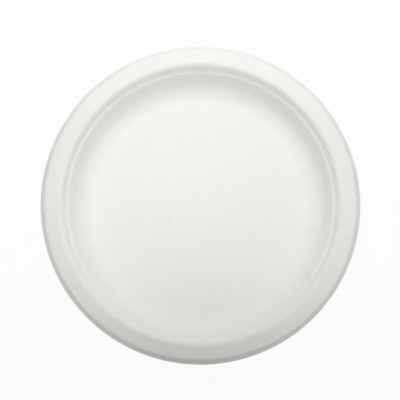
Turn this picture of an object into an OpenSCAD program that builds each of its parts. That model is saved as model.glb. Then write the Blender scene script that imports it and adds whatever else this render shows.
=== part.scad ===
// Round plate of moulded fibre: one sheet of even thickness, pressed into a
// flat base, a curved wall, a soft stacking ledge, a sloping rim and a rolled
// lip that flares out a little where it is trimmed.
//
// The origin is the centre of the base on the plane that the plate rests on,
// and +Z points up out of the well. Radial places are worked out from the
// trimmed edge inwards, and heights of the rim from its crest downwards, so
// a wider plate gets a wider base and a taller one gets a deeper well.

/* [Plate] */
// Diameter across the trimmed edge
plate_d = 230; // [180:1:280]
// Height of the rim's crest above the resting plane
plate_h = 19.5; // [16:0.5:25]
// Thickness of the pressed fibre sheet
sheet_t = 0.6; // [0.4:0.05:0.8]

/* [Well] */
// Steepness of the wall above the level
wall_angle = 54; // [44:1:64]
// Radius that blends the base into the wall
base_round = 18; // [8:0.5:21]

/* [Stacking ledge] */
// Depth of the ledge's inner corner below the crest
ledge_depth = 5.6; // [4.8:0.1:7]
// Width of the ledge, measured along its slope
ledge_w = 2.2; // [1.9:0.1:4]
// Steepness of the ledge, which eases the wall for a narrow band
ledge_rise = 31; // [27:1:37]
// Radius of the ledge's inner corner
ledge_round = 3.6; // [1:0.1:4.2]
// Radius where the ledge meets the step up to the rim
step_round = 4.6; // [1:0.1:5.4]
// Steepness of the step above the level
step_angle = 53; // [46:1:56]

/* [Rim] */
// Width from the trimmed edge in to the crest
rim_w = 13.3; // [11:0.1:15.5]
// Radius of the crest, from the step over to the rim
crest_round = 3.8; // [2.5:0.1:4.4]
// Outward fall of the rim, below the level
rim_fall = 18; // [12:1:21]

/* [Lip] */
// Depth of the trimmed edge below the crest
lip_depth = 8.7; // [7.9:0.1:10]
// Steepness of the skirt under the rolled lip
skirt_angle = 76; // [66:1:82]
// Radius that rolls the rim over into the skirt
lip_round = 3.8; // [2:0.1:4.6]
// Width of the flared edge, measured along its slope
edge_w = 2.6; // [1.5:0.1:3.2]
// Outward fall of the flared edge, below the level
edge_fall = 48; // [35:1:60]
// Radius where the skirt eases out into the flared edge
edge_round = 1; // [0.7:0.05:1.8]

/* [Hidden] */

// Largest turn between two points of a rounded corner, in degrees
arc_step = 5;
// Facets round the plate
$fn = 180;
fibre_white = [0.94, 0.935, 0.92];

// Unit vector at an angle above the level, pointing outwards
function along(angle) = [cos(angle), sin(angle)];
// Unit vector square to that direction, on its upper side
function above(angle) = [-sin(angle), cos(angle)];
// Angle above the level of the way from one point to the next
function heading(from, to) = atan2(to.y - from.y, to.x - from.x);
// Where the line through p at angle a crosses the line through q at angle b
function crossing(p, a, q, b) =
    let (gap = q - p)
    p + along(a) * (gap.x * sin(b) - gap.y * cos(b)) / sin(b - a);

// The food side of the sheet, as [radius, height] of its corners

// Trimmed edge, and the corner where the skirt eases out into the flare
edge_z = plate_h - lip_depth;
edge_end = [plate_d / 2, edge_z];
skirt_foot = edge_end - edge_w * along(-edge_fall);

// Crest arc, whose highest point is plate_h above the resting plane
crest_centre = [plate_d / 2 - rim_w, plate_h - crest_round];
step_top = crest_centre + crest_round * above(step_angle);
rim_start = crest_centre + crest_round * above(-rim_fall);
crest_corner = crossing(step_top, step_angle, rim_start, -rim_fall);
lip_corner = crossing(rim_start, -rim_fall, skirt_foot, -skirt_angle);

// Ledge, whose outer corner lies on the line of the step
ledge_z = plate_h - ledge_depth;
step_z = ledge_z + ledge_w * sin(ledge_rise);
step_foot = step_top - along(step_angle) * (step_top.y - step_z) / sin(step_angle);
ledge_corner = step_foot - ledge_w * along(ledge_rise);

// Base corner, where the line of the wall reaches the floor of the well
floor_z = sheet_t;
base_corner = ledge_corner - along(wall_angle) * (ledge_z - floor_z) / sin(wall_angle);
centre = [0, floor_z];

corners = [
    centre,
    base_corner,
    ledge_corner,
    step_foot,
    crest_corner,
    lip_corner,
    skirt_foot,
    edge_end
];
rounds = [0, base_round, ledge_round, step_round, crest_round, lip_round, edge_round, 0];

// Points of the arc that rounds corner i, on the face that lies depth below
// the food side. The two faces share each arc's centre, so the sheet keeps
// its thickness round every bend.
function bend(i, depth) =
    let (
        from = heading(corners[i - 1], corners[i]),
        to = heading(corners[i], corners[i + 1]),
        turn = to - from,
        side = sign(turn),
        tangent = rounds[i] * tan(abs(turn) / 2),
        arc_centre = corners[i] - tangent * along(from) + side * rounds[i] * above(from),
        radius = rounds[i] + side * depth,
        steps = ceil(abs(turn) / arc_step)
    )
    [for (k = [0:steps]) arc_centre - side * radius * above(from + turn * k / steps)];

// One face of the sheet from the plate's axis out to its trimmed edge, which
// is cut square to the sheet
function face(depth) = [
    centre - [0, depth],
    for (i = [1:len(corners) - 2]) each bend(i, depth),
    edge_end - depth * above(-edge_fall)
];

// List of points from last to first
function backwards(points) = [for (i = [len(points) - 1:-1:0]) points[i]];

module plate() {
    color(fibre_white)
    rotate_extrude()
    polygon(concat(face(0), backwards(face(sheet_t))));
}

plate();
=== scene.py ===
import math

import bpy
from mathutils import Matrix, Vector


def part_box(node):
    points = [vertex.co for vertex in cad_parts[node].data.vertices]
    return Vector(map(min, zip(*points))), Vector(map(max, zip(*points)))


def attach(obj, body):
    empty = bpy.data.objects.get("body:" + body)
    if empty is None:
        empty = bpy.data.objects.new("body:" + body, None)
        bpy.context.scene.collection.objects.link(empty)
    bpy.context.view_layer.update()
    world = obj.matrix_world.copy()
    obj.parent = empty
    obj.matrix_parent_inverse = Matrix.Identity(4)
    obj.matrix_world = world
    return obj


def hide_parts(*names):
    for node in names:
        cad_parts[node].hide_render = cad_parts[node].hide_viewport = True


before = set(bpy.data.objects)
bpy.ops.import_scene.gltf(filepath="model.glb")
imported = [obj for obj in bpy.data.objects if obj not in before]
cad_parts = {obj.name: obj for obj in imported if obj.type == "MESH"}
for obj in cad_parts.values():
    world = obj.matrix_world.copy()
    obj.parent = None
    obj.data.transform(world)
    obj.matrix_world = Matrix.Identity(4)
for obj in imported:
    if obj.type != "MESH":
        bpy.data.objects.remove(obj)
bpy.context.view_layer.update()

MM = 0.001

# Everything on the plate is worked out from its outer size, which the frame gives, and from these sizes of
# its section, in millimetres and degrees.

_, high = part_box("plate")
PLATE_R = high.x / MM
PLATE_H = high.z / MM
SHEET_T = 0.6

# The well: steepness of the wall, and the radius that blends the base into it.
WALL_ANGLE = 54
BASE_ROUND = 18

# The stacking ledge: how far its inner corner lies below the crest, its width along its slope, its steepness
# and the radius of that corner, then the radius and the steepness of the step up to the rim.
LEDGE_DEPTH = 5.6
LEDGE_W = 2.2
LEDGE_RISE = 31
LEDGE_ROUND = 3.6
STEP_ROUND = 4.6
STEP_ANGLE = 53

# The rim: its width from the trimmed edge in to the crest, the radius of the crest, and its outward fall.
RIM_W = 13.3
CREST_ROUND = 3.8
RIM_FALL = 18

# The lip: how far the trimmed edge lies below the crest, the steepness of the skirt, and the radius that
# rolls the rim over into it, then the flared edge's width along its slope, its outward fall, and the radius
# that eases the skirt into it.
LIP_DEPTH = 8.7
SKIRT_ANGLE = 76
LIP_ROUND = 3.8
EDGE_W = 2.6
EDGE_FALL = 48
EDGE_ROUND = 1

# Faces round the plate, the largest turn of the section between two rings, and the widest gap between rings
# on a straight.
AROUND = 288
TURN_STEP = 5
RING_GAP = 2.6
# Radius of the flat disc that the section is drawn outwards from.
HUB_R = 3
# Points that lie closer than this are one, and ends that differ less in height are level.
NO_GAP = 0.001
# Width of the small slopes that ease the trimmed edge, and the sharpest turn that is still shaded smooth.
EDGE_EASE = 0.12
SMOOTH_ANGLE = 35


def along(angle):
    """Unit vector at an angle above the level, pointing outwards."""
    return Vector((math.cos(math.radians(angle)), math.sin(math.radians(angle))))


def above(angle):
    """Unit vector square to that direction, on its upper side."""
    return Vector((-math.sin(math.radians(angle)), math.cos(math.radians(angle))))


def heading(start, end):
    """Angle above the level of the way from one point of the section to the next."""
    way = end - start
    return math.degrees(math.atan2(way.y, way.x))


def crossing(first, first_angle, second, second_angle):
    """Where the line through the first point at its angle crosses the line through the second at its own."""
    gap = second - first
    slope = math.radians(second_angle)
    turn = math.radians(second_angle - first_angle)
    reach = (gap.x * math.sin(slope) - gap.y * math.cos(slope)) / math.sin(turn)
    return first + along(first_angle) * reach


def section_corners():
    """The corners of the food side, from the middle out to the edge, each with the radius that rounds it."""
    edge_end = Vector((PLATE_R, PLATE_H - LIP_DEPTH))
    skirt_foot = edge_end - EDGE_W * along(-EDGE_FALL)
    crest_centre = Vector((PLATE_R - RIM_W, PLATE_H - CREST_ROUND))
    step_top = crest_centre + CREST_ROUND * above(STEP_ANGLE)
    rim_start = crest_centre + CREST_ROUND * above(-RIM_FALL)
    crest = crossing(step_top, STEP_ANGLE, rim_start, -RIM_FALL)
    lip = crossing(rim_start, -RIM_FALL, skirt_foot, -SKIRT_ANGLE)
    ledge_z = PLATE_H - LEDGE_DEPTH
    step_z = ledge_z + LEDGE_W * along(LEDGE_RISE).y
    step_foot = step_top - along(STEP_ANGLE) * ((step_top.y - step_z) / along(STEP_ANGLE).y)
    ledge = step_foot - LEDGE_W * along(LEDGE_RISE)
    base = ledge - along(WALL_ANGLE) * ((ledge_z - SHEET_T) / along(WALL_ANGLE).y)
    return [
        (Vector((HUB_R, SHEET_T)), 0),
        (base, BASE_ROUND),
        (ledge, LEDGE_ROUND),
        (step_foot, STEP_ROUND),
        (crest, CREST_ROUND),
        (lip, LIP_ROUND),
        (skirt_foot, EDGE_ROUND),
        (edge_end, 0),
    ]


def rounded(before, corner, after, radius):
    """Points of the arc of that radius which rounds a corner of the section."""
    start = heading(before, corner)
    turn = heading(corner, after) - start
    side = math.copysign(1, turn)
    tangent = radius * math.tan(math.radians(abs(turn) / 2))
    centre = corner - tangent * along(start) + side * radius * above(start)
    steps = math.ceil(abs(turn) / TURN_STEP)
    angles = [start + turn * step / steps for step in range(steps + 1)]
    return [centre - side * radius * above(angle) for angle in angles]


def section_points():
    """The food side's section, with arcs at its corners and rings spread along its straights."""
    corners = section_corners()
    bends = [[corners[0][0]]]
    for (before, _), (corner, radius), (after, _) in zip(corners, corners[1:], corners[2:]):
        bends.append(rounded(before, corner, after, radius))
    bends.append([corners[-1][0]])
    points = list(bends[0])
    for bend in bends[1:]:
        start = points[-1]
        end = bend[0]
        parts = math.ceil((end - start).length / RING_GAP)
        points += [start.lerp(end, part / parts) for part in range(1, parts)]
        points += bend
    return points


def select_none():
    """Deselects everything, so that the next operator acts on its own piece only."""
    bpy.ops.object.select_all(action="DESELECT")


def select_edges(piece, wanted):
    """Selects the edges whose two ends pass the test together, and leaves the piece in edit mode."""
    bpy.ops.object.mode_set(mode="EDIT")
    bpy.ops.mesh.select_mode(type="EDGE")
    bpy.ops.mesh.select_all(action="DESELECT")
    bpy.ops.object.mode_set(mode="OBJECT")
    points = piece.data.vertices
    for edge in piece.data.edges:
        edge.select = wanted([points[end].co for end in edge.vertices])
    bpy.ops.object.mode_set(mode="EDIT")


def apply_modifier(piece, kind, **settings):
    """Adds a modifier with these settings and applies it."""
    modifier = piece.modifiers.new(kind.title(), kind)
    for name, value in settings.items():
        setattr(modifier, name, value)
    bpy.ops.object.modifier_apply(modifier=modifier.name)


def pressed_sheet():
    """The plate's food side, drawn outwards ring by ring from a flat disc at the middle of the well."""
    points = section_points()
    select_none()
    bpy.ops.mesh.primitive_circle_add(
        vertices=AROUND, radius=points[0].x * MM, fill_type="NGON", location=(0, 0, points[0].y * MM)
    )
    piece = bpy.context.object
    piece.name = "pulp_plate"
    piece.data.name = "pulp_plate"
    bpy.ops.object.transform_apply(location=True, rotation=False, scale=False)
    bpy.ops.object.mode_set(mode="EDIT")
    bpy.ops.mesh.select_mode(type="EDGE")
    bpy.ops.mesh.select_all(action="SELECT")
    bpy.ops.mesh.region_to_loop()
    for here, there in zip(points, points[1:]):
        rise = (there.y - here.y) * MM
        growth = there.x / here.x
        bpy.ops.mesh.extrude_edges_move(TRANSFORM_OT_translate={"value": (0, 0, rise)})
        bpy.ops.transform.resize(value=(growth, growth, 1), center_override=(0, 0, 0))
    bpy.ops.mesh.select_all(action="SELECT")
    bpy.ops.mesh.remove_doubles(threshold=NO_GAP * MM)
    bpy.ops.mesh.normals_make_consistent(inside=False)
    bpy.ops.object.mode_set(mode="OBJECT")
    # The first face is the flat disc, and the food side looks up.
    if piece.data.polygons[0].normal.z < 0:
        piece.data.flip_normals()
    return piece


def ease_trimmed_edge(piece):
    """Takes the sharpness off the two rings where the trimming die cut through the sheet."""

    def on_cut_ring(ends):
        level = abs(ends[0].z - ends[1].z) < NO_GAP * MM
        return level and min(end.xy.length for end in ends) > (PLATE_R - SHEET_T) * MM

    select_edges(piece, on_cut_ring)
    bpy.ops.mesh.bevel(offset=EDGE_EASE * MM, segments=2, affect="EDGES")
    bpy.ops.object.mode_set(mode="OBJECT")


def model_plate():
    """The pressed sheet with its thickness and its trimmed edge, and a finish for each face and the cut."""
    piece = pressed_sheet()
    for finish in (food_side_finish(), underside_finish(), cut_finish()):
        piece.data.materials.append(finish)
    # What is drawn so far keeps the first finish, and the thickness adds the underside and then the cut.
    apply_modifier(
        piece,
        "SOLIDIFY",
        thickness=SHEET_T * MM,
        offset=-1,
        use_even_offset=True,
        use_quality_normals=True,
        material_offset=1,
        material_offset_rim=2,
    )
    ease_trimmed_edge(piece)
    bpy.ops.object.shade_smooth_by_angle(angle=math.radians(SMOOTH_ANGLE))
    return piece


class Value:
    """An output of a shader node, whose sums, products and the like add Math nodes."""

    def __init__(self, finish, socket):
        self.finish = finish
        self.socket = socket

    def maths(self, operation, *values):
        """What a Math node makes of these numbers and outputs."""
        return self.finish.node("ShaderNodeMath", {"operation": operation}, dict(enumerate(values)))

    def __add__(self, other):
        return self.maths("ADD", self, other)

    def __radd__(self, other):
        return self.maths("ADD", other, self)

    def __mul__(self, other):
        return self.maths("MULTIPLY", self, other)

    def __rmul__(self, other):
        return self.maths("MULTIPLY", other, self)

    def or_more(self, other):
        """The greater of the two."""
        return self.maths("MAXIMUM", self, other)


class Finish:
    """The nodes of a material or of the world's light, made afresh."""

    def __init__(self, owner):
        owner.use_nodes = True
        self.owner = owner
        self.tree = owner.node_tree
        self.tree.nodes.clear()

    def node(self, kind, settings=None, sockets=None, output=0):
        """Adds a node, makes its settings, then gives its sockets their values or links."""
        made = self.tree.nodes.new(kind)
        for name, value in (settings or {}).items():
            setattr(made, name, value)
        for name, value in (sockets or {}).items():
            if isinstance(value, Value):
                self.tree.links.new(value.socket, made.inputs[name])
            else:
                made.inputs[name].default_value = value
        return Value(self, made.outputs[output])

    def end_in(self, kind, shader):
        """Links the shader to an output of that kind and hands back what the nodes belong to."""
        made = self.tree.nodes.new(kind)
        self.tree.links.new(shader.socket, made.inputs["Surface"])
        return self.owner


WHITE = (1, 1, 1, 1)
# Colour of the pulp where it settled thickly and thinly, and of the single fibres that show in it.
PULP_PALE = (0.913, 0.898, 0.870, 1)
PULP_DULL = (0.865, 0.850, 0.823, 1)
PULP_FIBRE = (0.780, 0.745, 0.690, 1)

# The sockets that mix two colours go by their places, as those that mix numbers have the same names.
MIX_SHARE = 0
MIX_FIRST = 6
MIX_SECOND = 7
MIX_RESULT = 2


def material_finish(name):
    """An empty material to build a finish in."""
    return Finish(bpy.data.materials.new(name))


def seen_directly(finish):
    """1 for what the camera sees, straight or by a glossy or clear surface, and 0 for all other light."""
    camera = finish.node("ShaderNodeLightPath", output="Is Camera Ray")
    glossy = finish.node("ShaderNodeLightPath", output="Is Glossy Ray")
    clear = finish.node("ShaderNodeLightPath", output="Is Transmission Ray")
    return camera.or_more(glossy).or_more(clear)


def object_place(finish):
    """Where each point lies on the piece, in metres."""
    return finish.node("ShaderNodeTexCoord", output="Object")


def cloud(finish, place, size, detail=2.0):
    """Noise whose patches are about this many millimetres across, from 0 to 1 round a mean of a half."""
    return finish.node(
        "ShaderNodeTexNoise",
        sockets={"Vector": place, "Scale": 1 / (size * MM), "Detail": detail},
    )


def clouds(finish, place, shares):
    """Noise of several sizes added together, each by its share."""
    return sum(share * cloud(finish, place, size) for size, share in shares.items())


def between(least, most, share):
    """The number that lies this share of the way from the least to the most."""
    return least + (most - least) * share


def blend(finish, share, first, second):
    """A colour that goes from the first to the second as the share goes from 0 to 1."""
    return finish.node(
        "ShaderNodeMix",
        {"data_type": "RGBA"},
        {MIX_SHARE: share, MIX_FIRST: first, MIX_SECOND: second},
        output=MIX_RESULT,
    )


def steps_up(finish, value, start, end):
    """0 below the start, 1 above the end, and a smooth rise between."""
    return finish.node(
        "ShaderNodeMapRange",
        {"interpolation_type": "SMOOTHSTEP"},
        {"Value": value, "From Min": start, "From Max": end},
    )


# Length and width of a fibre that shows in the felt, in millimetres, and the ways that such fibres lie, in
# degrees.
FIBRE_L = 2.6
FIBRE_W = 0.16
FIBRE_TURNS = (12, 71, 134)
# Noise at which a fibre begins to show and shows fully, and how strongly its colour shows then.
FIBRE_START = 0.66
FIBRE_FULL = 0.76
FIBRE_STRENGTH = 0.4
# Clouds in the felt's colour, from how thickly the fibre settled down to fine mottling, as the size of their
# patches in millimetres and the share of each.
MOTTLE = {42: 0.3, 9: 0.45, 2.2: 0.25}


def fibres(finish, place):
    """1 on the few single fibres that lie on the surface of the felt, and 0 between them."""
    ways = []
    for turn in FIBRE_TURNS:
        laid = finish.node(
            "ShaderNodeMapping",
            {"vector_type": "TEXTURE"},
            {
                "Vector": place,
                "Rotation": (0, 0, math.radians(turn)),
                "Scale": (FIBRE_L * MM, FIBRE_W * MM, FIBRE_L * MM),
            },
        )
        noise = finish.node("ShaderNodeTexNoise", sockets={"Vector": laid, "Scale": 1, "Detail": 0})
        ways.append(steps_up(finish, noise, FIBRE_START, FIBRE_FULL))
    return sum(ways)


def felt_colour(finish, place, shown_fibres):
    """Felted pulp's colour: mottled between pale and dull, with single fibres on it."""
    felt = blend(finish, clouds(finish, place, MOTTLE), PULP_DULL, PULP_PALE)
    return blend(finish, FIBRE_STRENGTH * shown_fibres, felt, PULP_FIBRE)


def raised(finish, height, depth):
    """Surface relief of this height, from 0 to 1, over a depth in millimetres."""
    return finish.node("ShaderNodeBump", sockets={"Strength": 1.0, "Distance": depth * MM, "Height": height})


def matt(finish, colour, roughness, relief):
    """The matt surface of pulp, which ends its material."""
    shader = finish.node(
        "ShaderNodeBsdfPrincipled",
        sockets={"Base Color": colour, "Roughness": roughness, "Normal": relief},
    )
    return finish.end_in("ShaderNodeOutputMaterial", shader)


# The food side: its grain, as sizes in millimetres and shares, what a fibre adds to that, the depth of its
# relief in millimetres, and the range of its roughness.
PRESSED_GRAIN = {0.9: 0.55, 3.5: 0.45}
PRESSED_FIBRE = 0.1
PRESSED_DEPTH = 0.12
PRESSED_ROUGH = (0.74, 0.88)
# Size of the patches in which both faces change in roughness, in millimetres.
ROUGH_PATCH = 5


def food_side_finish():
    """The smooth face that the hot polished die pressed: faintly mottled, matt, with a fine felt grain."""
    finish = material_finish("pressed_pulp")
    place = object_place(finish)
    shown_fibres = fibres(finish, place)
    colour = felt_colour(finish, place, shown_fibres)
    grain = clouds(finish, place, PRESSED_GRAIN) + PRESSED_FIBRE * shown_fibres
    roughness = between(*PRESSED_ROUGH, cloud(finish, place, ROUGH_PATCH))
    return matt(finish, colour, roughness, raised(finish, grain, PRESSED_DEPTH))


# The underside: from one wire of the forming screen to the next and the size of its grain, in millimetres,
# the share of its relief that is pillows between the wires, the depth of the relief in millimetres, and the
# range of its roughness.
SCREEN_PITCH = 0.9
SCREENED_GRAIN = 0.8
PILLOW_SHARE = 0.7
SCREENED_DEPTH = 0.07
SCREENED_ROUGH = (0.84, 0.96)
# Waves that the pattern of wires has in each metre at a scale of 1.
WAVES = 10 / math.pi


def between_wires(finish, place, direction):
    """0 on the wires that lie side by side in this direction on the forming screen, and 1 midway between."""
    return finish.node(
        "ShaderNodeTexWave",
        {"wave_type": "BANDS", "bands_direction": direction, "wave_profile": "SIN"},
        {"Vector": place, "Scale": 1 / (WAVES * SCREEN_PITCH * MM)},
        output="Fac",
    )


def underside_finish():
    """The face that drained through the forming screen, whose woven wires left it a fine grid of pillows."""
    finish = material_finish("screened_pulp")
    place = object_place(finish)
    colour = felt_colour(finish, place, fibres(finish, place))
    pillows = between_wires(finish, place, "X") * between_wires(finish, place, "Y")
    grain = PILLOW_SHARE * pillows + (1 - PILLOW_SHARE) * cloud(finish, place, SCREENED_GRAIN)
    roughness = between(*SCREENED_ROUGH, cloud(finish, place, ROUGH_PATCH))
    return matt(finish, colour, roughness, raised(finish, grain, SCREENED_DEPTH))


# The cut edge: the size of its torn fibre ends and the depth of their relief, in millimetres, how many finer
# sizes they hold, and the range of its roughness.
CUT_ENDS = 0.22
CUT_DEPTH = 0.1
CUT_DETAIL = 3.0
CUT_ROUGH = (0.9, 1.0)


def cut_finish():
    """The cut edge, where the trimming die tore through the felt and left the ends of its fibres."""
    finish = material_finish("cut_pulp")
    place = object_place(finish)
    ends = cloud(finish, place, CUT_ENDS, CUT_DETAIL)
    colour = blend(finish, ends, PULP_FIBRE, PULP_PALE)
    return matt(finish, colour, between(*CUT_ROUGH, ends), raised(finish, ends, CUT_DEPTH))


# Share of the floor's white that doesn't depend on light, and the colour of the rest, which takes the
# plate's shadow.
FLOOR_WHITE = 0.93
FLOOR_GREY = (0.8, 0.8, 0.8, 1)
# Width of the floor, and the hair's breadth that it lies below the plate's flat base, in metres.
FLOOR_SIZE = 6
FLOOR_GAP = 0.00005


def floor_finish():
    """Plain white, which the camera sees nearly full white and which still takes the plate's shadow."""
    finish = material_finish("white_floor")
    lit = finish.node("ShaderNodeBsdfDiffuse", sockets={"Color": FLOOR_GREY})
    white = finish.node("ShaderNodeEmission", sockets={"Color": WHITE, "Strength": 1.0})
    white_share = FLOOR_WHITE * seen_directly(finish)
    mixed = finish.node("ShaderNodeMixShader", sockets=dict(enumerate((white_share, lit, white))))
    return finish.end_in("ShaderNodeOutputMaterial", mixed)


def make_floor():
    """A wide level floor under the plate, which is no part of it."""
    select_none()
    bpy.ops.mesh.primitive_plane_add(size=FLOOR_SIZE, location=(0, 0, -FLOOR_GAP))
    floor = bpy.context.object
    floor.name = "floor"
    floor.data.materials.append(floor_finish())


# The photograph looks down from the near side, this many degrees above the level. In a picture 400 pixels
# wide, the middle of the trimmed edge falls at this place, and the edge reaches this far to either side of
# it. The lens and its sensor are in millimetres.
VIEW_ELEVATION = 83.48
PICTURE = 400
MIDDLE_X = 200.45
MIDDLE_Y = 203.9
EDGE_SPAN = 159.85
LENS = 135
SENSOR = 36


def make_camera():
    """A camera at the photograph's angle, as far off as makes the plate's outline the photograph's size."""
    edge_z = (PLATE_H - LIP_DEPTH) * MM
    span = PLATE_R * MM * PICTURE / EDGE_SPAN
    distance = span * LENS / SENSOR
    tilt = math.radians(VIEW_ELEVATION)
    back = Vector((0, -math.cos(tilt), math.sin(tilt)))
    up = Vector((0, math.sin(tilt), math.cos(tilt)))
    right = Vector((1, 0, 0))
    pixel = span / PICTURE
    aim = Vector((0, 0, edge_z))
    aim += right * (PICTURE / 2 - MIDDLE_X) * pixel
    aim += up * (MIDDLE_Y - PICTURE / 2) * pixel
    data = bpy.data.cameras.new("camera")
    data.lens = LENS
    data.sensor_width = SENSOR
    camera = bpy.data.objects.new("camera", data)
    bpy.context.scene.collection.objects.link(camera)
    camera.location = aim + back * distance
    camera.rotation_euler = (math.pi / 2 - tilt, 0, 0)
    bpy.context.scene.camera = camera


def place_round(turn, lift, distance):
    """The place this far from the plate, turned clockwise from its far side and lifted above the floor."""
    turn = math.radians(turn)
    lift = math.radians(lift)
    way = Vector((math.cos(lift) * math.sin(turn), math.cos(lift) * math.cos(turn), math.sin(lift)))
    return distance * way


def place_lamp(data, place, aim):
    """Puts a lamp at its place, facing what it is aimed at."""
    lamp = bpy.data.objects.new(data.name, data)
    bpy.context.scene.collection.objects.link(lamp)
    lamp.location = place
    lamp.rotation_euler = (aim - place).to_track_quat("-Z", "Y").to_euler()
    lamp.visible_camera = False


def soft_panel(name, place, size, watts):
    """A square panel of soft light that faces the plate."""
    data = bpy.data.lights.new(name, "AREA")
    data.size = size
    data.energy = watts
    place_lamp(data, place, Vector((0, 0, 0)))


# The two round lamps overhead: how far each is to the side, its height, how far past the plate's middle it
# is aimed, how far from there it reaches, its own radius, all in metres, and the share of its reach over
# which it fades out.
OVERHEAD_X = 0.21
OVERHEAD_Z = 1.3
OVERHEAD_PAST = 0.05
OVERHEAD_REACH = 0.32
OVERHEAD_R = 0.1
OVERHEAD_FADE = 0.83


def overhead(name, x, watts):
    """A round lamp that shines down and fades out round the point that it is aimed at."""
    data = bpy.data.lights.new(name, "SPOT")
    data.energy = watts
    data.shadow_soft_size = OVERHEAD_R
    data.spot_size = 2 * math.atan(OVERHEAD_REACH / OVERHEAD_Z)
    data.spot_blend = OVERHEAD_FADE
    place_lamp(data, Vector((x, 0, OVERHEAD_Z)), Vector((x, OVERHEAD_PAST, 0)))


# Strength of the surround's light on the plate, where 1 is full white.
WORLD_FILL = 0.134


def world_finish():
    """A surround that looks full white and fills the shadows a little."""
    finish = Finish(bpy.data.worlds.new("surround"))
    strength = between(WORLD_FILL, 1, seen_directly(finish))
    shader = finish.node("ShaderNodeBackground", sockets={"Color": WHITE, "Strength": strength})
    return finish.end_in("ShaderNodeOutputWorld", shader)


def make_lights():
    """Two lamps overhead, soft panels behind the plate, beside it and before it, and a white surround."""
    overhead("overhead_left", x=-OVERHEAD_X, watts=34.1)
    overhead("overhead_right", x=OVERHEAD_X, watts=32.1)
    soft_panel("panel_far", place_round(turn=0, lift=42, distance=0.8), size=0.3, watts=1.66)
    soft_panel("panel_low", place_round(turn=0, lift=15, distance=0.4), size=0.12, watts=0.13)
    soft_panel("panel_right", place_round(turn=90, lift=12, distance=1.4), size=0.5, watts=1.77)
    soft_panel("panel_near", place_round(turn=180, lift=30, distance=1.4), size=0.5, watts=1.52)
    soft_panel("panel_left", place_round(turn=270, lift=12, distance=1.4), size=0.5, watts=0.63)
    bpy.context.scene.world = world_finish()
    bpy.context.scene.view_settings.view_transform = "Standard"


make_camera()

plate = model_plate()
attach(plate, "root")
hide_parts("plate")

make_floor()
make_lights()
